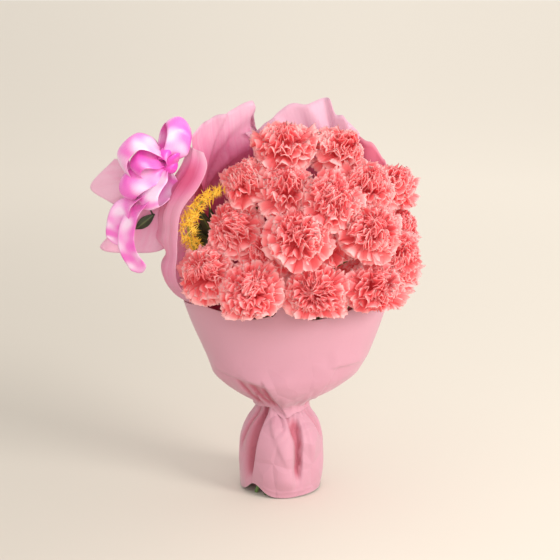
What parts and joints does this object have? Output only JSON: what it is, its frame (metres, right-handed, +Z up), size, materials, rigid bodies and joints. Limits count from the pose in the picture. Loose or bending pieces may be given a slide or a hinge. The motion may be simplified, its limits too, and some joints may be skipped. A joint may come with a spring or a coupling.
{
  "type": "bunch of carnations",
  "caption": "Hand-tied bunch of pink carnations with goldenrod, in pink paper and tissue with a ribbon bow, standing upright on its splayed cut stems.",
  "frame": {"origin": "middle of the cut end of the central stem, on the surface that the bunch stands on", "axes": "+Z up; the heads face -Y; +X is to the right as they are looked at, and the bow is on the left, at -X"},
  "size_m": [0.3738, 0.2056, 0.4472],
  "materials": {
    "petal": "matte",
    "stem": "satin",
    "leaf": "satin",
    "goldenrod": "matte",
    "wrap": "matte",
    "tissue": "satin",
    "ribbon": "gloss",
    "twine": "matte"
  },
  "bodies": {
    "root": {"bloom_01": "petal", "bloom_02": "petal", "bloom_03": "petal", "bloom_04": "petal", "bloom_05": "petal", "bloom_06": "petal", "bloom_07": "petal", "bloom_08": "petal", "bloom_09": "petal", "bloom_10": "petal", "bloom_11": "petal", "bloom_12": "petal", "bloom_13": "petal", "bloom_14": "petal", "bloom_15": "petal", "bloom_16": "petal", "bloom_17": "petal", "bloom_18": "petal", "bloom_19": "petal", "bloom_20": "petal", "bloom_21": "petal", "stem_01": "stem", "stem_02": "stem", "stem_03": "stem", "stem_04": "stem", "stem_05": "stem", "stem_06": "stem", "stem_07": "stem", "stem_08": "stem", "stem_09": "stem", "stem_10": "stem", "stem_11": "stem", "stem_12": "stem", "stem_13": "stem", "stem_14": "stem", "stem_15": "stem", "stem_16": "stem", "stem_17": "stem", "stem_18": "stem", "stem_19": "stem", "stem_20": "stem", "stem_21": "stem", "goldenrod_1_flowers": "goldenrod", "goldenrod_1_stem": "stem", "goldenrod_2_flowers": "goldenrod", "goldenrod_2_stem": "stem", "foliage_1": "leaf", "foliage_2": "leaf", "front_wrap": "wrap", "back_wrap": "wrap", "skirt_wrap": "wrap", "tissue_left": "tissue", "tissue_right": "tissue", "tissue_side": "tissue", "stem_binding": "twine", "neck_tie": "twine", "ribbon_bow": "ribbon", "bow_tissue": "tissue", "bow_sprig": "leaf"}
  },
  "joints": []
}
